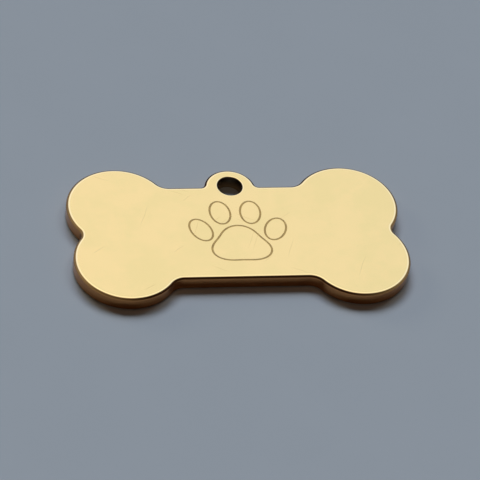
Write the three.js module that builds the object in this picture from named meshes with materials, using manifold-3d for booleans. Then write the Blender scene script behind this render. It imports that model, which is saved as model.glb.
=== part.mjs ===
// Bone-shaped pet tag: a polished gold-coloured metal plate with a lug and a ring hole on its
// upper edge. A paw is engraved in the front face as thin lines, and each line holds a dark
// lacquer fill. Millimetres, +Z up: the plate lies on its back face at z = 0, X runs along the
// bone, and the lug is on the +Y side.

import * as THREE from "three";
import { mergeVertices } from "three/addons/utils/BufferGeometryUtils.js";
import Module from "manifold-3d";

// Plate
const TAG_LENGTH = 40; // over the knobs
const TAG_WIDTH = 21; // over the knobs
const THICKNESS = 1.8;
const KNOB_RADIUS = 6.25; // each of the four round ends
const KNOB_STEP = 3.1; // how far a knob stands out past the shaft's straight edge
const CORNER_FILLET = 1.9; // where a knob meets the shaft
const NOTCH_FILLET = 1.2; // between the two knobs of one end
const EDGE_ROUND = 0.2; // rounded rim of both faces

// Lug and ring hole
const LUG_RADIUS = 3.1;
const LUG_RISE = 2.8; // from the shaft's edge to the top of the lug
const LUG_FILLET = 0.6; // where the lug meets the shaft
const HOLE_DIAMETER = 3;
const HOLE_WALL = 1.2; // metal between the hole and the top of the lug
const HOLE_ROUND = 0.1; // broken edge of the hole on both faces

// Engraved paw: its lines, and the plain metal left above and below it
const LINE_WIDTH = 0.25;
const LINE_DEPTH = 0.15;
const PAW_TO_HOLE = 1.1;
const PAW_TO_EDGE = 2.8; // to the shaft's lower edge

// Drawing of the paw, at its own size: it is scaled to the space it has
const PAD_WIDTH = 6.8;
const PAD_HEIGHT = 5.6;
const PAD_SWELL = 0.44; // of the pad's top and of its two lower corners
const TOE_WIDTH = 2.45;
const TOE_LENGTH = 3.7;
const TOE_GAP = 0.7; // from the pad's line to the toes
const TOES = [
  { place: "inner", around: 16, tilt: 5 }, // degrees from upright, about the pad's centre
  { place: "outer", around: 56, tilt: 24 },
];

// Lacquer in the engraved lines
const FILL_GAP = 0.02; // between the lacquer and the line's walls and floor
const FILL_SUNK = 0.03; // from the front face down to the lacquer

// Smoothness of the round shapes
const ARC_STEP = THREE.MathUtils.degToRad(6);
const ROUND_STEPS = 3; // along a rounded rim
const HOLE_SIDES = 40;
const PAD_SIDES = 48;
const TOE_SIDES = 32;
const CUT_OVERRUN = 1; // a cutter reaches this far past the face

const wasm = await Module();
wasm.setup();

const gold = new THREE.MeshStandardMaterial({ color: 0xf0dba2, roughness: 0.12, metalness: 1 });
const lacquer = new THREE.MeshStandardMaterial({ color: 0x5a4625, roughness: 0.45, metalness: 0 });

// Closed geometry to a solid for joining and cutting, and back
function toSolid(geometry) {
  const bare = geometry.clone().deleteAttribute("normal").deleteAttribute("uv");
  const merged = mergeVertices(bare);
  const mesh = new wasm.Mesh({
    numProp: 3,
    vertProperties: merged.attributes.position.array,
    triVerts: new Uint32Array(merged.index.array),
  });
  return new wasm.Manifold(mesh);
}

function toGeometry(solid) {
  const mesh = solid.getMesh();
  const geometry = new THREE.BufferGeometry();
  geometry.setAttribute("position", new THREE.BufferAttribute(mesh.vertProperties, 3));
  geometry.setIndex(new THREE.BufferAttribute(mesh.triVerts, 1));
  geometry.computeVertexNormals();
  return geometry;
}

// Circles of the outline: knobs and lug bulge out, fillets curve in and touch them from outside
const knobX = TAG_LENGTH / 2 - KNOB_RADIUS;
const knobY = TAG_WIDTH / 2 - KNOB_RADIUS;
const shaftY = TAG_WIDTH / 2 - KNOB_STEP;
const lugTop = shaftY + LUG_RISE;
const lug = { x: 0, y: lugTop - LUG_RADIUS, r: LUG_RADIUS, bulges: true };

function knob(sideX, sideY) {
  return { x: sideX * knobX, y: sideY * knobY, r: KNOB_RADIUS, bulges: true };
}

function notch(side) {
  const reach = Math.sqrt((KNOB_RADIUS + NOTCH_FILLET) ** 2 - knobY ** 2);
  return { x: side * (knobX + reach), y: 0, r: NOTCH_FILLET };
}

// A fillet that runs from a bulge into the shaft's straight edge, beside the bulge
function edgeFillet(bulge, radius, sideX, sideY) {
  const y = shaftY + radius;
  const reach = Math.sqrt((bulge.r + radius) ** 2 - (y - sideY * bulge.y) ** 2);
  return { x: bulge.x + sideX * reach, y: sideY * y, r: radius, edgeY: sideY * shaftY };
}

function knobFillet(sideX, sideY) {
  return edgeFillet(knob(sideX, sideY), CORNER_FILLET, -sideX, sideY);
}

// The point where the outline leaves one circle for its neighbour
function leaves(circle, neighbour) {
  if (circle.edgeY !== undefined && neighbour.edgeY !== undefined) {
    return new THREE.Vector2(circle.x, circle.edgeY);
  }
  const share = circle.r / (circle.r + neighbour.r);
  const from = new THREE.Vector2(circle.x, circle.y);
  return from.lerp(new THREE.Vector2(neighbour.x, neighbour.y), share);
}

function arcPoints(circle, before, after) {
  const [start, end] = [before, after].map((neighbour) => {
    const point = leaves(circle, neighbour);
    return Math.atan2(point.y - circle.y, point.x - circle.x);
  });
  const sweep = circle.bulges ? end - start : start - end;
  const steps = Math.ceil(THREE.MathUtils.euclideanModulo(sweep, 2 * Math.PI) / ARC_STEP);
  const arc = new THREE.EllipseCurve(circle.x, circle.y, circle.r, circle.r, start, end, !circle.bulges);
  const points = arc.getPoints(steps);
  const straightFollows = circle.edgeY !== undefined && after.edgeY !== undefined;
  return straightFollows ? points : points.slice(0, -1);
}

// Counter-clockwise outline of the bone, from the upper right knob
function boneOutline() {
  const circles = [
    knob(1, 1),
    knobFillet(1, 1),
    edgeFillet(lug, LUG_FILLET, 1, 1),
    lug,
    edgeFillet(lug, LUG_FILLET, -1, 1),
    knobFillet(-1, 1),
    knob(-1, 1),
    notch(-1),
    knob(-1, -1),
    knobFillet(-1, -1),
    knobFillet(1, -1),
    knob(1, -1),
    notch(1),
  ];
  const count = circles.length;
  return circles.flatMap((circle, i) => {
    const before = circles[(i + count - 1) % count];
    return arcPoints(circle, before, circles[(i + 1) % count]);
  });
}

// Blank of the plate, with both rims rounded
function plateBlank() {
  const blank = new THREE.ExtrudeGeometry(new THREE.Shape(boneOutline()), {
    depth: THICKNESS - 2 * EDGE_ROUND,
    bevelThickness: EDGE_ROUND,
    bevelSize: EDGE_ROUND,
    bevelOffset: -EDGE_ROUND,
    bevelSegments: ROUND_STEPS,
  });
  return blank.translate(0, 0, EDGE_ROUND);
}

// Cutter of the ring hole: a cylinder that flares out to both faces in a quarter round
const holeRadius = HOLE_DIAMETER / 2;
const holeY = lugTop - HOLE_WALL - holeRadius;

function holeCutter() {
  const rims = [
    { z: 0, into: 1 },
    { z: THICKNESS, into: -1 },
  ];
  const [lower, upper] = rims.map(({ z, into }) =>
    Array.from({ length: ROUND_STEPS + 1 }, (_, i) => {
      const angle = (i / ROUND_STEPS) * (Math.PI / 2);
      const radius = holeRadius + HOLE_ROUND * (1 - Math.sin(angle));
      return new THREE.Vector2(radius, z + into * HOLE_ROUND * (1 - Math.cos(angle)));
    }),
  );
  const mouth = holeRadius + HOLE_ROUND;
  const profile = [
    new THREE.Vector2(0, -CUT_OVERRUN),
    new THREE.Vector2(mouth, -CUT_OVERRUN),
    ...lower,
    ...upper.reverse(),
    new THREE.Vector2(mouth, THICKNESS + CUT_OVERRUN),
    new THREE.Vector2(0, THICKNESS + CUT_OVERRUN),
  ];
  const cutter = new THREE.LatheGeometry(profile, HOLE_SIDES).rotateX(Math.PI / 2);
  return cutter.translate(0, holeY, 0);
}

// Points of a closed loop, counter-clockwise
function ring(sides, pointAt) {
  return Array.from({ length: sides }, (_, i) => pointAt((2 * Math.PI * i) / sides));
}

// The pad is an oval whose top and two lower corners swell
function padPoint(angle) {
  const swell = 1 - (PAD_SWELL / (PAD_WIDTH / 2)) * Math.sin(3 * angle);
  const oval = new THREE.Vector2(PAD_WIDTH * Math.cos(angle), PAD_HEIGHT * Math.sin(angle));
  return oval.multiplyScalar(swell / 2);
}

// A toe is an ellipse that stands off the pad along a spoke from the pad's centre
function toeLoop({ around, tilt }, side) {
  const root = padPoint(Math.PI / 2 - side * THREE.MathUtils.degToRad(around));
  const spoke = root.clone().normalize();
  const lean = side * THREE.MathUtils.degToRad(tilt);
  const long = new THREE.Vector2(Math.sin(lean), Math.cos(lean)).multiplyScalar(TOE_LENGTH / 2);
  const broad = new THREE.Vector2(Math.cos(lean), -Math.sin(lean)).multiplyScalar(TOE_WIDTH / 2);
  const reach = Math.hypot(spoke.dot(long), spoke.dot(broad));
  const centre = root.addScaledVector(spoke, TOE_GAP + reach);
  return ring(TOE_SIDES, (angle) =>
    centre.clone().addScaledVector(broad, Math.cos(angle)).addScaledVector(long, Math.sin(angle)),
  );
}

// The paw's loops in millimetres, each with the name of its fill
function pawLoops() {
  const loops = [{ name: "pad_line_fill", points: ring(PAD_SIDES, padPoint) }];
  for (const toe of TOES) {
    loops.push({ name: `left_${toe.place}_toe_line_fill`, points: toeLoop(toe, -1) });
    loops.push({ name: `right_${toe.place}_toe_line_fill`, points: toeLoop(toe, 1) });
  }
  const heights = loops.flatMap((loop) => loop.points.map((point) => point.y));
  const low = Math.min(...heights);
  const pawLow = -shaftY + PAW_TO_EDGE;
  const pawTop = holeY - holeRadius - PAW_TO_HOLE;
  const scale = (pawTop - pawLow) / (Math.max(...heights) - low);
  for (const point of loops.flatMap((loop) => loop.points)) {
    point.set(point.x * scale, pawLow + (point.y - low) * scale);
  }
  return loops;
}

// A closed band of even width along a loop, standing from one height to another
function band({ points }, width, bottom, top) {
  const edge = (offset) =>
    points.map((point, i) => {
      const along = points[(i + 1) % points.length].clone().sub(points.at(i - 1)).normalize();
      return new THREE.Vector2(along.y, -along.x).multiplyScalar(offset).add(point);
    });
  const shape = new THREE.Shape(edge(width / 2));
  shape.holes.push(new THREE.Path(edge(-width / 2)));
  const solid = new THREE.ExtrudeGeometry(shape, { depth: top - bottom, bevelEnabled: false });
  return solid.translate(0, 0, bottom);
}

// Assembly
const tag = new THREE.Group();
const loops = pawLoops();
const lineFloor = THICKNESS - LINE_DEPTH;

function addPiece(name, geometry, material) {
  const mesh = new THREE.Mesh(geometry, material);
  mesh.name = name;
  tag.add(mesh);
}

const cutters = [
  holeCutter(),
  ...loops.map((loop) => band(loop, LINE_WIDTH, lineFloor, THICKNESS + CUT_OVERRUN)),
];
const plate = cutters.reduce((left, cutter) => left.subtract(toSolid(cutter)), toSolid(plateBlank()));
addPiece("tag_plate", toGeometry(plate), gold);

for (const loop of loops) {
  const fill = band(loop, LINE_WIDTH - 2 * FILL_GAP, lineFloor + FILL_GAP, THICKNESS - FILL_SUNK);
  addPiece(loop.name, fill, lacquer);
}

export default tag;
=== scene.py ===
"""Bone-shaped pet tag of polished gold-coloured metal, lying on a plain pale surface."""

from math import atan2, ceil, cos, hypot, pi, radians, sin, sqrt

import bmesh
import bpy
from mathutils import Matrix, Vector


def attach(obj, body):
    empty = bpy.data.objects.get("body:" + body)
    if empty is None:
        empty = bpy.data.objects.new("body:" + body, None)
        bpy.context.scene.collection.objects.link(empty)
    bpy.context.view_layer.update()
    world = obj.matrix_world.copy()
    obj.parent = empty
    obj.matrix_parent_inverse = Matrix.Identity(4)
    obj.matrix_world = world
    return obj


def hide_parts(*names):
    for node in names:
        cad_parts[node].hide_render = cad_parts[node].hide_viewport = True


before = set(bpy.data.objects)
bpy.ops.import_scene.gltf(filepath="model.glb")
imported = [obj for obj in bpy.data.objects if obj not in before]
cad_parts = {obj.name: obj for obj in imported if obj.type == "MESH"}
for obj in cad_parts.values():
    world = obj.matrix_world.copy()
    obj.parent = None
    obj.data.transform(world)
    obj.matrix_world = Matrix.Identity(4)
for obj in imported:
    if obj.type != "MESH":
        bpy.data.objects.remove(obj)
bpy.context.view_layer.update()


# Tag plate: one flat bone cut from gold-coloured sheet metal, with a lug and a drilled ring hole, and
# a paw engraved as shallow channels. Its rims are tumbled round and its faces polished to a mirror. Along
# each rim runs a pale painted highlight, then a dark line of painted shade that is painted paler at the
# ends. The cut walls are satin with painted brown shade, and the bore has painted shade, darkest at its
# mouth.

# Sizes in metres. A toe's place is its angle round the pad and its tilt, both in degrees from upright.
PLATE_LENGTH = 0.040
PLATE_WIDTH = 0.021
PLATE_THICKNESS = 0.0018
KNOB_RADIUS = 0.00625
KNOB_STEP = 0.0031
KNOB_FILLET = 0.0019
NOTCH_FILLET = 0.0012
RIM_ROLL = 0.00045
RIM_DROP = 0.0002
LUG_RADIUS = 0.0031
LUG_RISE = 0.0028
LUG_FILLET = 0.0006
HOLE_RADIUS = 0.0015
HOLE_WALL = 0.0012
HOLE_ROLL = 0.0002
HOLE_DROP = 0.0001
LINE_WIDTH = 0.00025
LINE_DEPTH = 0.00015
LINE_FLOOR_ROUND = 0.00006
PAW_TO_HOLE = 0.0011
PAW_TO_EDGE = 0.0028
PAD_WIDTH = 0.0068
PAD_HEIGHT = 0.0056
PAD_SWELL = 0.00044
PAD_LOBES = 3
TOE_WIDTH = 0.00245
TOE_LENGTH = 0.0037
TOE_GAP = 0.0007
TOE_PLACES = {"inner": (16, 5), "outer": (56, 24)}

# How fine the mesh is, how far a rim's curve is pulled towards its corner, and the kinds of path.
ARC_STEP = radians(2)
ROUND_STEPS = 12
HOLE_SIDES = 120
PAD_SIDES = 200
TOE_SIDES = 120
WELD_DISTANCE = 0.000001
ROLL_PULL = 0.556
DROP_PULL = 0.15
RIM_PATH = 0
HOLE_PATH = 1
LINE_PATH = 2

GOLD_WARM = (0.90, 0.718, 0.367, 1)
GOLD_PALE = (0.855, 0.702, 0.35, 1)
# A painted highlight: the pale line along each rim next to the face.
GOLD_PAINTED_RIM_HIGHLIGHT = (0.96, 0.82, 0.50, 1)
# Painted shade: the dark line below the rim's highlight, painted paler towards the plate's ends.
GOLD_MIDDLE_PAINTED_SHADE = (0.03, 0.011, 0.004, 1)
GOLD_ENDS_PAINTED_SHADE = (0.19, 0.115, 0.045, 1)
# Painted shade: the cut walls' dark brown.
GOLD_WALL_PAINTED_SHADE = (0.53, 0.25, 0.095, 1)
# Painted shade in the bore: dark at its mouth, painted lighter towards its lower end.
GOLD_BORE_MOUTH_PAINTED_SHADE = (0.05, 0.034, 0.02, 1)
GOLD_BORE_LOW_PAINTED = (0.60, 0.45, 0.27, 1)
GOLD_SCRATCH = (0.66, 0.51, 0.25, 1)

# Where the finish and its painted light and shade change, in millimetres as the materials read them: depths
# below the nearer face, the reach from the plate's middle over which the painted dark line turns paler, the
# bore's reach from its edge, and heights in the bore.
MM = 1000
PAINTED_HIGHLIGHT_DEPTHS = (0.0002, 0.003)
DARK_LINE_DEPTHS = (0.025, 0.05)
WALL_DEPTHS = (0.18, 0.23)
SATIN_DEPTHS = (0.17, 0.27)
SHADE_FADE_REACH = (11.0, 19.5)
BORE_REACH = (0.12, 0.02)
BORE_HEIGHTS = (1.5, 0.1)

# The polish: its cloudy patches, how rough it is, how deep its marks are in metres, and its sets of fine
# scratches, each with a turn in radians, sizes in millimetres and the share of places that have one.
GOLD_PATCH_MM = 4.0
GOLD_ROUGHNESS = (0.07, 0.11)
SATIN_ROUGHNESS = 0.09
GOLD_BUMP = 0.000001
GRAIN_HEIGHT = 0.12
SCRATCH_TINT = 0.35
SCRATCH_ROUGHNESS = 0.1
SCRATCH_SETS = (
    {"Turn": 0.5, "Length": 9.0, "Spacing": 0.5, "Share": 0.06},
    {"Turn": -0.7, "Length": 7.0, "Spacing": 0.45, "Share": 0.05},
    {"Turn": 1.9, "Length": 14.0, "Spacing": 0.4, "Share": 0.025},
)

shaft_y = PLATE_WIDTH / 2 - KNOB_STEP
lug_top = shaft_y + LUG_RISE
hole_y = lug_top - HOLE_WALL - HOLE_RADIUS


def bulge(x, y, radius):
    return {"x": x, "y": y, "r": radius, "turn": 1, "edge": None}


def hollow(x, y, radius, edge=None):
    """A fillet's circle, with the height of the straight edge that it leads into, where it does."""
    return {"x": x, "y": y, "r": radius, "turn": -1, "edge": edge}


def fillet_beside(round_part, radius, side_x, side_y):
    """The fillet that leads from a knob or the lug into the shaft's straight edge."""
    y = shaft_y + radius
    reach = sqrt((round_part["r"] + radius) ** 2 - (y - side_y * round_part["y"]) ** 2)
    return hollow(round_part["x"] + side_x * reach, side_y * y, radius, side_y * shaft_y)


def bone_circles():
    """The outline's circles, counter-clockwise from the upper right knob."""
    knob_x = PLATE_LENGTH / 2 - KNOB_RADIUS
    knob_y = PLATE_WIDTH / 2 - KNOB_RADIUS
    notch_x = knob_x + sqrt((KNOB_RADIUS + NOTCH_FILLET) ** 2 - knob_y**2)
    lug = bulge(0, lug_top - LUG_RADIUS, LUG_RADIUS)

    def knob(side_x, side_y):
        return bulge(side_x * knob_x, side_y * knob_y, KNOB_RADIUS)

    def knob_fillet(side_x, side_y):
        return fillet_beside(knob(side_x, side_y), KNOB_FILLET, -side_x, side_y)

    def notch(side):
        return hollow(side * notch_x, 0, NOTCH_FILLET)

    return [
        knob(1, 1), knob_fillet(1, 1),
        fillet_beside(lug, LUG_FILLET, 1, 1), lug, fillet_beside(lug, LUG_FILLET, -1, 1),
        knob_fillet(-1, 1), knob(-1, 1), notch(-1), knob(-1, -1), knob_fillet(-1, -1),
        knob_fillet(1, -1), knob(1, -1), notch(1),
    ]


def share_edge(circle, other):
    return circle["edge"] is not None and other["edge"] is not None


def meeting_angle(circle, other):
    """The angle on a circle at which it meets its neighbour, or the straight edge between them."""
    if share_edge(circle, other):
        return atan2(circle["edge"] - circle["y"], 0)
    return atan2(other["y"] - circle["y"], other["x"] - circle["x"])


def bone_outline():
    circles = bone_circles()
    points = []
    for i, circle in enumerate(circles):
        after = circles[(i + 1) % len(circles)]
        start = meeting_angle(circle, circles[i - 1])
        end = meeting_angle(circle, after)
        sweep = circle["turn"] * ((circle["turn"] * (end - start)) % (2 * pi))
        steps = ceil(abs(sweep) / ARC_STEP)
        for step in range(steps + share_edge(circle, after)):
            angle = start + sweep * step / steps
            points.append((circle["x"] + circle["r"] * cos(angle), circle["y"] + circle["r"] * sin(angle)))
    return points


def hole_circle():
    """Clockwise, so that the metal is on the same hand as along the outline."""
    turns = [-2 * pi * i / HOLE_SIDES for i in range(HOLE_SIDES)]
    return [(HOLE_RADIUS * cos(a), hole_y + HOLE_RADIUS * sin(a)) for a in turns]


def pad_point(angle):
    swell = (1 - PAD_SWELL / (PAD_WIDTH / 2) * sin(PAD_LOBES * angle)) / 2
    return Vector((swell * PAD_WIDTH * cos(angle), swell * PAD_HEIGHT * sin(angle)))


def toe_loop(place, side):
    around, tilt = (radians(angle) for angle in TOE_PLACES[place])
    root = pad_point(pi / 2 - side * around)
    spoke = root.normalized()
    long_axis = Vector((side * sin(tilt), cos(tilt))) * (TOE_LENGTH / 2)
    broad_axis = Vector((cos(tilt), -side * sin(tilt))) * (TOE_WIDTH / 2)
    centre = root + spoke * (TOE_GAP + hypot(spoke.dot(long_axis), spoke.dot(broad_axis)))
    turns = [2 * pi * i / TOE_SIDES for i in range(TOE_SIDES)]
    return [centre + broad_axis * cos(a) + long_axis * sin(a) for a in turns]


def paw_loops():
    """The paw's lines as closed loops, scaled to the room between the hole and the lower edge."""
    loops = {"pad": [pad_point(2 * pi * i / PAD_SIDES) for i in range(PAD_SIDES)]}
    for place in TOE_PLACES:
        loops["left_" + place + "_toe"] = toe_loop(place, -1)
        loops["right_" + place + "_toe"] = toe_loop(place, 1)
    heights = [point.y for loop in loops.values() for point in loop]
    low, high = min(heights), max(heights)
    paw_low = PAW_TO_EDGE - shaft_y
    paw_top = hole_y - HOLE_RADIUS - PAW_TO_HOLE
    scale = (paw_top - paw_low) / (high - low)
    return {
        name: [(point.x * scale, paw_low + (point.y - low) * scale) for point in loop]
        for name, loop in loops.items()
    }


def add_node(tree, kind, inputs=None, **settings):
    """A node with its settings, and with its inputs set or linked by socket name or number."""
    made = tree.nodes.new(kind)
    for name, value in settings.items():
        setattr(made, name, value)
    for key, value in (inputs or {}).items():
        socket = made.inputs[key]
        if isinstance(value, bpy.types.NodeSocket):
            tree.links.new(value, socket)
        else:
            socket.default_value = value
    return made


def calc(tree, operation, first, second=0.0):
    return add_node(tree, "ShaderNodeMath", {0: first, 1: second}, operation=operation).outputs[0]


def new_tree(name, kind, sockets_in, sockets_out):
    """A node tree with named inputs and outputs, and the sockets inside it that carry them."""
    tree = bpy.data.node_groups.new(name, kind)
    for in_out, sockets in (("INPUT", sockets_in), ("OUTPUT", sockets_out)):
        for label, socket_type in sockets.items():
            tree.interface.new_socket(label, in_out=in_out, socket_type="NodeSocket" + socket_type)
    entry = tree.nodes.new("NodeGroupInput").outputs
    leave = tree.nodes.new("NodeGroupOutput").inputs
    return tree, entry, leave


def joined(tree, parts):
    made = tree.nodes.new("GeometryNodeJoinGeometry")
    for part in parts:
        tree.links.new(part, made.inputs[0])
    return made.outputs[0]


def welded(tree, mesh):
    inputs = {"Geometry": mesh, "Distance": WELD_DISTANCE}
    return add_node(tree, "GeometryNodeMergeByDistance", inputs).outputs[0]


def shaded(tree, mesh, smooth):
    inputs = {"Geometry": mesh, "Shade Smooth": smooth}
    return add_node(tree, "GeometryNodeSetShadeSmooth", inputs).outputs[0]


def coated(tree, mesh, material):
    """The end of a piece's tree: real faces, with their material."""
    real = add_node(tree, "GeometryNodeRealizeInstances", {"Geometry": mesh}).outputs[0]
    return add_node(tree, "GeometryNodeSetMaterial", {"Geometry": real, "Material": material}).outputs[0]


def section_point(tree, out, height):
    """A point of a cross-section, by how far out and how high it is. A swept profile's Y points down."""
    down = calc(tree, "MULTIPLY", height, -1.0)
    return add_node(tree, "ShaderNodeCombineXYZ", {"X": out, "Y": down}).outputs[0]


def role_curve(tree, paths, role):
    """The closed paths of one role as curves whose sections stand upright."""
    own_role = add_node(tree, "GeometryNodeInputNamedAttribute", {"Name": "role"}).outputs[0]
    is_role = add_node(
        tree, "FunctionNodeCompare", {"A": own_role, "B": float(role), "Epsilon": 0.1},
        data_type="FLOAT", operation="EQUAL",
    )
    chosen = add_node(
        tree, "GeometryNodeSeparateGeometry", {"Geometry": paths, "Selection": is_role.outputs[0]},
        domain="POINT",
    )
    curve = add_node(tree, "GeometryNodeMeshToCurve", {"Mesh": chosen.outputs[0]})
    return add_node(tree, "GeometryNodeSetCurveNormal", {"Curve": curve.outputs[0]}, mode="Z_UP").outputs[0]


def swept(tree, curve, section):
    """The smooth band that a cross-section sweeps along a curve."""
    band = add_node(tree, "GeometryNodeCurveToMesh", {"Curve": curve, "Profile Curve": section})
    return shaded(tree, band.outputs[0], smooth=True)


def rolled_wall(tree, curve, thickness, roll, drop, steps):
    """An upright wall along a curve, with a rim above and below that rolls over into the faces."""
    edge = calc(tree, "MULTIPLY", roll, -1.0)
    edge_pull = calc(tree, "MULTIPLY", roll, ROLL_PULL - 1)
    low_pull = calc(tree, "MULTIPLY", drop, 1 - DROP_PULL)
    high = calc(tree, "SUBTRACT", thickness, drop)
    high_pull = calc(tree, "SUBTRACT", thickness, low_pull)
    upper_rim = [(edge, thickness), (edge_pull, thickness), (0.0, high_pull), (0.0, high)]
    lower_rim = [(0.0, drop), (0.0, low_pull), (edge_pull, 0.0), (edge, 0.0)]
    bands = []
    for span in (upper_rim, lower_rim):
        places = [section_point(tree, out, height) for out, height in span]
        rim = add_node(
            tree, "GeometryNodeCurvePrimitiveBezierSegment",
            {"Resolution": steps, **dict(zip(("Start", "Start Handle", "End Handle", "End"), places))},
            mode="POSITION",
        )
        bands.append(swept(tree, curve, rim.outputs[0]))
    upright = add_node(
        tree, "GeometryNodeCurvePrimitiveLine",
        {"Start": section_point(tree, 0.0, high), "End": section_point(tree, 0.0, drop)}, mode="POINTS",
    )
    rows = add_node(tree, "GeometryNodeResampleCurve", {"Curve": upright.outputs[0], "Count": steps})
    return bands + [swept(tree, curve, rows.outputs[0])]


def four_corners(tree, corners, radius, steps, closed):
    """A cross-section through four corners, with its corners rounded."""
    points = {
        "Point " + str(i + 1): section_point(tree, out, height) for i, (out, height) in enumerate(corners)
    }
    quad = add_node(tree, "GeometryNodeCurvePrimitiveQuadrilateral", points, mode="POINTS")
    loop = add_node(tree, "GeometryNodeSetSplineCyclic", {"Geometry": quad.outputs[0], "Cyclic": closed})
    rounded = add_node(
        tree, "GeometryNodeFilletCurve",
        {"Curve": loop.outputs[0], "Radius": radius, "Count": steps}, mode="POLY",
    )
    return rounded.outputs[0]


def face_between(tree, bands, height, operation, middle):
    """The flat face that fills the bands' open edges on one side of the plate."""
    edge_faces = tree.nodes.new("GeometryNodeInputMeshEdgeNeighbors").outputs[0]
    is_open = add_node(
        tree, "FunctionNodeCompare", {"A": edge_faces, "B": 1}, data_type="INT", operation="EQUAL"
    )
    place = tree.nodes.new("GeometryNodeInputPosition").outputs[0]
    z = add_node(tree, "ShaderNodeSeparateXYZ", {"Vector": place}).outputs["Z"]
    on_side = add_node(
        tree, "FunctionNodeCompare", {"A": z, "B": middle}, data_type="FLOAT", operation=operation
    )
    both = add_node(
        tree, "FunctionNodeBooleanMath", {0: is_open.outputs[0], 1: on_side.outputs[0]}, operation="AND"
    )
    edges = add_node(tree, "GeometryNodeMeshToCurve", {"Mesh": bands, "Selection": both.outputs[0]})
    filled = add_node(tree, "GeometryNodeFillCurve", {"Curve": edges.outputs[0]}, mode="TRIANGLES")
    lift = add_node(tree, "ShaderNodeCombineXYZ", {"Z": height}).outputs[0]
    raised = add_node(tree, "GeometryNodeTransform", {"Geometry": filled.outputs[0], "Translation": lift})
    return shaded(tree, raised.outputs[0], smooth=False)


def plate_tree():
    tree, entry, leave = new_tree(
        "bone_plate", "GeometryNodeTree",
        {
            "Paths": "Geometry", "Thickness": "Float", "Rim Roll": "Float", "Rim Drop": "Float",
            "Hole Roll": "Float", "Hole Drop": "Float", "Line Width": "Float", "Line Depth": "Float",
            "Line Floor Round": "Float", "Round Steps": "Int", "Metal": "Material",
        },
        {"Plate": "Geometry"},
    )
    thickness, steps = entry["Thickness"], entry["Round Steps"]
    bands = []
    for role, edge in ((RIM_PATH, "Rim"), (HOLE_PATH, "Hole")):
        curve = role_curve(tree, entry["Paths"], role)
        bands += rolled_wall(tree, curve, thickness, entry[edge + " Roll"], entry[edge + " Drop"], steps)
    half = calc(tree, "MULTIPLY", entry["Line Width"], 0.5)
    other_half = calc(tree, "MULTIPLY", half, -1.0)
    floor = calc(tree, "SUBTRACT", thickness, entry["Line Depth"])
    channel = four_corners(
        tree, [(half, thickness), (half, floor), (other_half, floor), (other_half, thickness)],
        entry["Line Floor Round"], steps, closed=False,
    )
    bands.append(swept(tree, role_curve(tree, entry["Paths"], LINE_PATH), channel))
    walls = welded(tree, joined(tree, bands))
    middle = calc(tree, "MULTIPLY", thickness, 0.5)
    front = face_between(tree, walls, thickness, "GREATER_THAN", middle)
    back = face_between(tree, walls, 0.0, "LESS_THAN", middle)
    whole = welded(tree, joined(tree, [back, front, walls]))
    tree.links.new(coated(tree, whole, entry["Metal"]), leave["Plate"])
    return tree


def path_mesh(name, loops):
    """Closed loops of (role, points) as bare edges, with each point's role kept as an attribute."""
    vertices, edges, roles = [], [], []
    for role, loop in loops:
        first = len(vertices)
        vertices += [(x, y, 0.0) for x, y in loop]
        edges += [(first + i, first + (i + 1) % len(loop)) for i in range(len(loop))]
        roles += [float(role)] * len(loop)
    mesh = bpy.data.meshes.new(name)
    mesh.from_pydata(vertices, edges, [])
    mesh.attributes.new("role", "FLOAT", "POINT").data.foreach_set("value", roles)
    return mesh


def grown(name, mesh, tree, values):
    """The plain mesh object that a node tree makes of a path mesh."""
    made = bpy.data.objects.new(name, mesh)
    bpy.context.scene.collection.objects.link(made)
    modifier = made.modifiers.new("shape", "NODES")
    modifier.node_group = tree
    for item in tree.interface.items_tree:
        if item.in_out == "INPUT" and item.name in values:
            modifier[item.identifier] = values[item.name]
    evaluated = made.evaluated_get(bpy.context.evaluated_depsgraph_get())
    plain = bpy.data.meshes.new_from_object(evaluated)
    plain.name = name
    made.modifiers.remove(modifier)
    made.data = plain
    bpy.data.meshes.remove(mesh)
    shell = bmesh.new()
    shell.from_mesh(plain)
    bmesh.ops.recalc_face_normals(shell, faces=shell.faces[:])
    shell.to_mesh(plain)
    shell.free()
    return made


def spread(tree, value, low, high, out_low=0.0, out_high=1.0):
    """A value eased from one range into another, and held at its ends."""
    return add_node(
        tree, "ShaderNodeMapRange",
        {"Value": value, "From Min": low, "From Max": high, "To Min": out_low, "To Max": out_high},
        interpolation_type="SMOOTHSTEP",
    ).outputs[0]


def blend_of(tree, share, base, cover, how="MIX"):
    mix = add_node(
        tree, "ShaderNodeMix", {0: share, 6: base, 7: cover}, data_type="RGBA", blend_type=how
    )
    return mix.outputs[2]


def new_material(name):
    """A material with its node tree and its shader's sockets."""
    material = bpy.data.materials.new(name)
    material.use_nodes = True
    tree = material.node_tree
    return material, tree, tree.nodes["Principled BSDF"].inputs


def millimetres(tree):
    """The point's place on the piece, in millimetres."""
    place = add_node(tree, "ShaderNodeTexCoord").outputs["Object"]
    return add_node(tree, "ShaderNodeVectorMath", {0: place, "Scale": MM}, operation="SCALE").outputs[0]


def haze_group():
    """Cloudy patches of a hand-rubbed finish, and a grain much finer than they are."""
    finer = 24.0
    thin, thick = 0.32, 0.68
    tree, entry, leave = new_tree(
        "rubbed_haze", "ShaderNodeTree",
        {"Place": "Vector", "Patch": "Float", "Detail": "Float"}, {"Haze": "Float", "Grain": "Float"},
    )
    per_patch = calc(tree, "DIVIDE", 1.0, entry["Patch"])
    clouds = add_node(
        tree, "ShaderNodeTexNoise",
        {"Vector": entry["Place"], "Scale": per_patch, "Detail": entry["Detail"], "Roughness": 0.55},
    )
    grain = add_node(
        tree, "ShaderNodeTexNoise",
        {"Vector": entry["Place"], "Scale": calc(tree, "MULTIPLY", per_patch, finer), "Detail": 2.0},
    )
    tree.links.new(spread(tree, clouds.outputs["Fac"], thin, thick), leave["Haze"])
    tree.links.new(grain.outputs["Fac"], leave["Grain"])
    return tree


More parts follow.
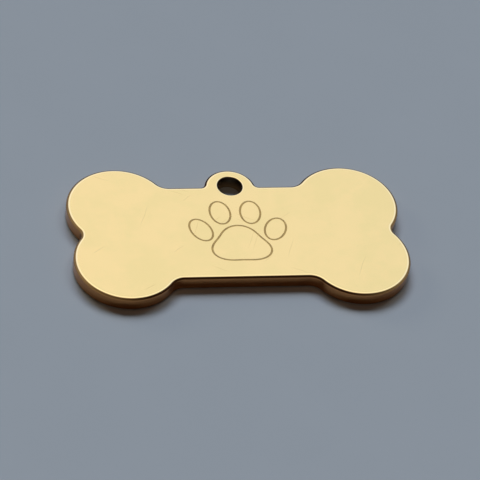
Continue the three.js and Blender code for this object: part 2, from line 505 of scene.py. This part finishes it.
def scratch_group():
    """Short fine scratches that lie near one direction, with bare stretches between them."""
    line_edge, line_core = 0.16, 0.05
    tree, entry, leave = new_tree(
        "handling_scratches", "ShaderNodeTree",
        {"Place": "Vector", "Turn": "Float", "Length": "Float", "Spacing": "Float", "Share": "Float"},
        {"Scratch": "Float"},
    )
    sway = add_node(tree, "ShaderNodeTexNoise", {"Vector": entry["Place"], "Scale": 0.25, "Detail": 1.0})
    bent = add_node(
        tree, "ShaderNodeVectorMath", {0: sway.outputs["Color"], 1: entry["Place"]}, operation="ADD"
    )
    turned = add_node(
        tree, "ShaderNodeVectorRotate", {"Vector": bent.outputs[0], "Angle": entry["Turn"]},
        rotation_type="Z_AXIS",
    )
    axes = add_node(tree, "ShaderNodeSeparateXYZ", {"Vector": turned.outputs[0]}).outputs
    stretched = add_node(
        tree, "ShaderNodeCombineXYZ",
        {"X": calc(tree, "DIVIDE", axes["X"], entry["Length"]),
         "Y": calc(tree, "DIVIDE", axes["Y"], entry["Spacing"])},
    )
    cells = add_node(
        tree, "ShaderNodeTexVoronoi", {"Vector": stretched.outputs[0], "Scale": 1.0},
        voronoi_dimensions="2D",
    )
    line = spread(tree, cells.outputs["Distance"], line_edge, line_core)
    chance = add_node(tree, "ShaderNodeSeparateColor", {"Color": cells.outputs["Color"]}).outputs[0]
    kept = calc(tree, "LESS_THAN", chance, entry["Share"])
    tree.links.new(calc(tree, "MULTIPLY", line, kept), leave["Scratch"])
    return tree


rubbed_haze = haze_group()
handling_scratches = scratch_group()


def hazed(tree, place, patch, detail):
    """The outputs of the rubbed haze, with patches of a size in millimetres."""
    inputs = {"Place": place, "Patch": patch, "Detail": detail}
    return add_node(tree, "ShaderNodeGroup", inputs, node_tree=rubbed_haze).outputs


def gold_finish():
    material, gold, shader = new_material("polished_gold")
    place = millimetres(gold)
    axes = add_node(gold, "ShaderNodeSeparateXYZ", {"Vector": place}).outputs
    haze = hazed(gold, place, GOLD_PATCH_MM, detail=3.0)
    scratches = 0.0
    for values in SCRATCH_SETS:
        scratch = add_node(
            gold, "ShaderNodeGroup", {"Place": place, **values}, node_tree=handling_scratches
        )
        scratches = calc(gold, "MAXIMUM", scratches, scratch.outputs["Scratch"])

    half = PLATE_THICKNESS * MM / 2
    off_middle = calc(gold, "ABSOLUTE", calc(gold, "SUBTRACT", axes["Z"], half))

    def below_face(depths):
        return spread(gold, off_middle, half - depths[0], half - depths[1])

    in_dark_line = below_face(DARK_LINE_DEPTHS)
    in_satin = below_face(SATIN_DEPTHS)
    shade_fade_to_ends = spread(gold, calc(gold, "ABSOLUTE", axes["X"]), *SHADE_FADE_REACH)
    level_place = add_node(gold, "ShaderNodeCombineXYZ", {"X": axes["X"], "Y": axes["Y"]}).outputs[0]
    from_hole = add_node(
        gold, "ShaderNodeVectorMath", {0: level_place, 1: (0.0, hole_y * MM, 0.0)}, operation="DISTANCE"
    ).outputs["Value"]
    hole_edge = HOLE_RADIUS * MM
    near_hole = spread(gold, from_hole, hole_edge + BORE_REACH[0], hole_edge + BORE_REACH[1])
    in_bore = calc(gold, "MULTIPLY", near_hole, in_dark_line)

    # Painted shade: a dark line round the rims below the painted highlight, painted paler towards the
    # plate's ends.
    painted_shade_line_colour = blend_of(gold, shade_fade_to_ends, GOLD_MIDDLE_PAINTED_SHADE, GOLD_ENDS_PAINTED_SHADE)
    # Painted shade in the bore: darkest at the mouth, painted lighter towards the back face.
    painted_bore_shade = blend_of(gold, spread(gold, axes["Z"], *BORE_HEIGHTS), GOLD_BORE_MOUTH_PAINTED_SHADE, GOLD_BORE_LOW_PAINTED)
    colour = blend_of(gold, haze["Haze"], GOLD_PALE, GOLD_WARM)
    colour = blend_of(gold, calc(gold, "MULTIPLY", scratches, SCRATCH_TINT), colour, GOLD_SCRATCH)
    # A pale painted highlight along each rim, just below the face.
    colour = blend_of(gold, below_face(PAINTED_HIGHLIGHT_DEPTHS), colour, GOLD_PAINTED_RIM_HIGHLIGHT)
    colour = blend_of(gold, in_dark_line, colour, painted_shade_line_colour)
    # Painted shade: the cut walls are painted dark brown.
    colour = blend_of(gold, below_face(WALL_DEPTHS), colour, GOLD_WALL_PAINTED_SHADE)
    colour = blend_of(gold, in_bore, colour, painted_bore_shade)
    rough = spread(gold, haze["Haze"], 0.0, 1.0, *GOLD_ROUGHNESS)
    rough = calc(gold, "ADD", rough, calc(gold, "MULTIPLY", scratches, SCRATCH_ROUGHNESS))
    rough = calc(gold, "ADD", rough, calc(gold, "MULTIPLY", in_satin, SATIN_ROUGHNESS))
    height = calc(gold, "SUBTRACT", calc(gold, "MULTIPLY", haze["Grain"], GRAIN_HEIGHT), scratches)
    bump = add_node(gold, "ShaderNodeBump", {"Strength": 1.0, "Distance": GOLD_BUMP, "Height": height})
    gold.links.new(colour, shader["Base Color"])
    gold.links.new(rough, shader["Roughness"])
    gold.links.new(bump.outputs[0], shader["Normal"])
    shader["Metallic"].default_value = 1.0
    return material


paw = paw_loops()
plate_paths = [(RIM_PATH, bone_outline()), (HOLE_PATH, hole_circle())]
plate_paths += [(LINE_PATH, loop) for loop in paw.values()]
tag_plate = grown(
    "polished_bone_plate", path_mesh("plate_paths", plate_paths), plate_tree(),
    {
        "Thickness": PLATE_THICKNESS, "Rim Roll": RIM_ROLL, "Rim Drop": RIM_DROP, "Hole Roll": HOLE_ROLL,
        "Hole Drop": HOLE_DROP, "Line Width": LINE_WIDTH, "Line Depth": LINE_DEPTH,
        "Line Floor Round": LINE_FLOOR_ROUND, "Round Steps": ROUND_STEPS, "Metal": gold_finish(),
    },
)
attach(tag_plate, "root")
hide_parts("tag_plate")


# Lacquer fills: brown paint wiped into the engraved lines and cured a hair below the polished
# face. One closed thread of it lies in each loop of the paw.

FILL_SIDE_GAP = 0.000002
FILL_SUNK = 0.00003
FILL_ROUND = 0.00002
FILL_ROUND_STEPS = 4
LACQUER_DARK = (0.27, 0.18, 0.06, 1)
LACQUER_LIGHT = (0.36, 0.25, 0.09, 1)
LACQUER_PATCH_MM = 0.6
LACQUER_ROUGHNESS = (0.42, 0.58)
LACQUER_BUMP = 0.000004


def fill_tree():
    tree, entry, leave = new_tree(
        "lacquer_thread", "GeometryNodeTree",
        {"Paths": "Geometry", "Width": "Float", "Low": "Float", "High": "Float", "Corner Round": "Float",
         "Round Steps": "Int", "Paint": "Material"},
        {"Thread": "Geometry"},
    )
    half = calc(tree, "MULTIPLY", entry["Width"], 0.5)
    other_half = calc(tree, "MULTIPLY", half, -1.0)
    low, high = entry["Low"], entry["High"]
    section = four_corners(
        tree, [(half, low), (half, high), (other_half, high), (other_half, low)],
        entry["Corner Round"], entry["Round Steps"], closed=True,
    )
    thread = swept(tree, role_curve(tree, entry["Paths"], LINE_PATH), section)
    tree.links.new(coated(tree, thread, entry["Paint"]), leave["Thread"])
    return tree


def lacquer_finish():
    material, lacquer, shader = new_material("line_lacquer")
    haze = hazed(lacquer, millimetres(lacquer), LACQUER_PATCH_MM, detail=2.0)
    colour = blend_of(lacquer, haze["Haze"], LACQUER_DARK, LACQUER_LIGHT)
    rough = spread(lacquer, haze["Haze"], 0.0, 1.0, *LACQUER_ROUGHNESS)
    bump = add_node(
        lacquer, "ShaderNodeBump", {"Strength": 1.0, "Distance": LACQUER_BUMP, "Height": haze["Grain"]}
    )
    lacquer.links.new(colour, shader["Base Color"])
    lacquer.links.new(rough, shader["Roughness"])
    lacquer.links.new(bump.outputs[0], shader["Normal"])
    return material


thread_tree = fill_tree()
thread_values = {
    "Width": LINE_WIDTH - 2 * FILL_SIDE_GAP, "Low": PLATE_THICKNESS - LINE_DEPTH + FILL_SIDE_GAP,
    "High": PLATE_THICKNESS - FILL_SUNK, "Corner Round": FILL_ROUND, "Round Steps": FILL_ROUND_STEPS,
    "Paint": lacquer_finish(),
}
for part_name, loop in paw.items():
    thread_path = path_mesh(part_name + "_path", [(LINE_PATH, loop)])
    thread = grown(part_name + "_lacquer", thread_path, thread_tree, thread_values)
    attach(thread, "root")
    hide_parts(part_name + "_line_fill")


# Surface under the tag: a plain pale blue-grey board, painted matt with a barely cloudy coat. It only
# carries the tag, and isn't part of it.

BOARD_HALF = 3.0
BOARD_SHADE = (0.2445, 0.2795, 0.326, 1)
BOARD_LIGHT = (0.2475, 0.2825, 0.330, 1)
BOARD_PATCH_MM = 12.0


def board_finish():
    material, coat, shader = new_material("board_paint")
    haze = hazed(coat, millimetres(coat), BOARD_PATCH_MM, detail=3.0)
    coat.links.new(blend_of(coat, haze["Haze"], BOARD_SHADE, BOARD_LIGHT), shader["Base Color"])
    shader["Roughness"].default_value = 0.9
    shader["Specular IOR Level"].default_value = 0.0
    return material


board_corners = [(x * BOARD_HALF, y * BOARD_HALF, 0) for x, y in ((-1, -1), (1, -1), (1, 1), (-1, 1))]
board_mesh = bpy.data.meshes.new("board")
board_mesh.from_pydata(board_corners, [], [(0, 1, 2, 3)])
board_mesh.materials.append(board_finish())
board = bpy.data.objects.new("board", board_mesh)
bpy.context.scene.collection.objects.link(board)


# Studio light: a broad soft lamp behind the tag, with weaker ones to its right, to its left and low on
# the left, and a faint warm fill from the front. Round them stands a pale dome that the metal mirrors,
# a little dimmer high above the lens.

# Each lamp's azimuth, elevation and spread in degrees, and the share of the board's colour it gives.
LAMPS = {
    "main": (1, 50, 30, (0.584, 0.617, 0.674)),
    "right": (45, 50, 16, (0.15, 0.15, 0.135)),
    "left": (-30, 50, 16, (0.13, 0.135, 0.12)),
    "low": (-45, 20, 16, (0.07, 0.06, 0.042)),
    "front": (-150, 50, 16, (0.066, 0.041, 0.027)),
}

# The dome's colours by height, from 0 at the horizon to 1 overhead, beyond the tag and on the lens's
# side, and the stretch over which the one gives way to the other.
DOME_WARM_TOP = (1.1, 1.02, 0.84)
DOME_DIM = (0.60, 0.54, 0.44)
DOME_FAR = [
    (0.0, (0.8, 0.8, 0.8)), (0.10, (0.88, 0.88, 0.88)), (0.34, (0.88, 0.88, 0.88)),
    (0.52, (1.05, 1.05, 1.05)), (0.72, (1.0, 1.0, 1.0)), (0.85, (1.05, 1.0, 0.86)), (1.0, DOME_WARM_TOP),
]
DOME_NEAR = [
    (0.0, (0.9, 0.9, 0.9)), (0.71, (0.9, 0.9, 0.87)), (0.78, DOME_DIM), (0.97, DOME_DIM),
    (0.993, DOME_WARM_TOP),
]
DOME_NEAR_SPAN = (0.22, 0.02)

# A slow drift of the dome's colour from left to right, and a faint blue glow at the left behind the tag.
DRIFT_SPAN = (0.02, 0.34)
DRIFT_LEFT = (1.05, 1.02, 1.0, 1)
DRIFT_RIGHT = (0.955, 0.97, 0.99, 1)
GLOW_TOWARDS = Vector((-0.75, 0.6, 0.3)).normalized()
GLOW_EDGE = radians(45)
GLOW_CORE = radians(12)
GLOW_SHARE = 0.2
GLOW_BLUE = (0.2, 0.45, 0.95, 1)


def soft_lamp(name, azimuth, elevation, spread_angle, share):
    """A lamp without a mirror image that gives a level board the stated share of its own colour."""
    across = cos(radians(elevation))
    towards = Vector((
        sin(radians(azimuth)) * across, cos(radians(azimuth)) * across, sin(radians(elevation))
    ))
    lamp_data = bpy.data.lights.new(name, "SUN")
    lamp_data.energy = pi / towards.z
    lamp_data.angle = radians(spread_angle)
    lamp_data.color = share
    lamp = bpy.data.objects.new(name, lamp_data)
    lamp.rotation_euler = towards.to_track_quat("Z", "Y").to_euler()
    lamp.visible_glossy = False
    bpy.context.scene.collection.objects.link(lamp)


def levels(tree, value, stops):
    made = add_node(tree, "ShaderNodeValToRGB", {"Fac": value})
    elements = made.color_ramp.elements
    made.color_ramp.interpolation = "EASE"
    while len(elements) < len(stops):
        elements.new(0.5)
    for element, (place, colour) in zip(elements, stops):
        element.position = place
        element.color = (*colour, 1)
    return made.outputs["Color"]


for lamp_name, settings in LAMPS.items():
    soft_lamp(lamp_name + "_lamp", *settings)

studio = bpy.data.worlds.new("studio")
studio.use_nodes = True
studio.cycles_visibility.diffuse = False
bpy.context.scene.world = studio
dome = studio.node_tree
dome_direction = add_node(dome, "ShaderNodeTexCoord").outputs["Generated"]
dome_axes = add_node(dome, "ShaderNodeSeparateXYZ", {"Vector": dome_direction}).outputs
nearness = spread(dome, dome_axes["Y"], *DOME_NEAR_SPAN)
far_side = levels(dome, dome_axes["Z"], DOME_FAR)
near_side = levels(dome, dome_axes["Z"], DOME_NEAR)
dome_colour = blend_of(dome, nearness, far_side, near_side)
drift = blend_of(dome, spread(dome, dome_axes["X"], *DRIFT_SPAN), DRIFT_LEFT, DRIFT_RIGHT)
dome_colour = blend_of(dome, 1.0, dome_colour, drift, "MULTIPLY")
towards_glow = add_node(
    dome, "ShaderNodeVectorMath", {0: dome_direction, 1: GLOW_TOWARDS}, operation="DOT_PRODUCT"
).outputs["Value"]
glow = spread(dome, towards_glow, cos(GLOW_EDGE), cos(GLOW_CORE), 0.0, GLOW_SHARE)
dome_colour = blend_of(dome, glow, dome_colour, GLOW_BLUE, "ADD")
dome.links.new(dome_colour, dome.nodes["Background"].inputs["Color"])
dome.nodes["Background"].inputs["Strength"].default_value = 1.0


# Camera: a long lens near 45 degrees above the tag and a little to its left, rolled so that the
# tag lies as it does in the picture.

CAMERA_AZIMUTH = radians(-15.90)
CAMERA_ELEVATION = radians(45.63)
CAMERA_ROLL = radians(-10.566)
CAMERA_DISTANCE = 0.32932
CAMERA_AIM = Vector((-0.0000581, -0.00142, PLATE_THICKNESS))
CAMERA_LENS = 210.18
CAMERA_SENSOR = 36.0
CAMERA_NEAREST = 0.01

camera_back = Vector((
    sin(CAMERA_AZIMUTH) * cos(CAMERA_ELEVATION),
    -cos(CAMERA_AZIMUTH) * cos(CAMERA_ELEVATION),
    sin(CAMERA_ELEVATION),
))
level_right = (-camera_back).cross(Vector((0, 0, 1))).normalized()
level_down = (-camera_back).cross(level_right)
camera_right = level_right * cos(CAMERA_ROLL) + level_down * sin(CAMERA_ROLL)
camera_down = level_down * cos(CAMERA_ROLL) - level_right * sin(CAMERA_ROLL)
camera_data = bpy.data.cameras.new("camera")
camera_data.lens = CAMERA_LENS
camera_data.sensor_width = CAMERA_SENSOR
camera_data.clip_start = CAMERA_NEAREST
camera = bpy.data.objects.new("camera", camera_data)
bpy.context.scene.collection.objects.link(camera)
camera_turn = Matrix((camera_right, -camera_down, camera_back)).transposed().to_4x4()
camera.matrix_world = Matrix.Translation(CAMERA_AIM + camera_back * CAMERA_DISTANCE) @ camera_turn
bpy.context.scene.camera = camera
bpy.context.scene.view_settings.view_transform = "Standard"
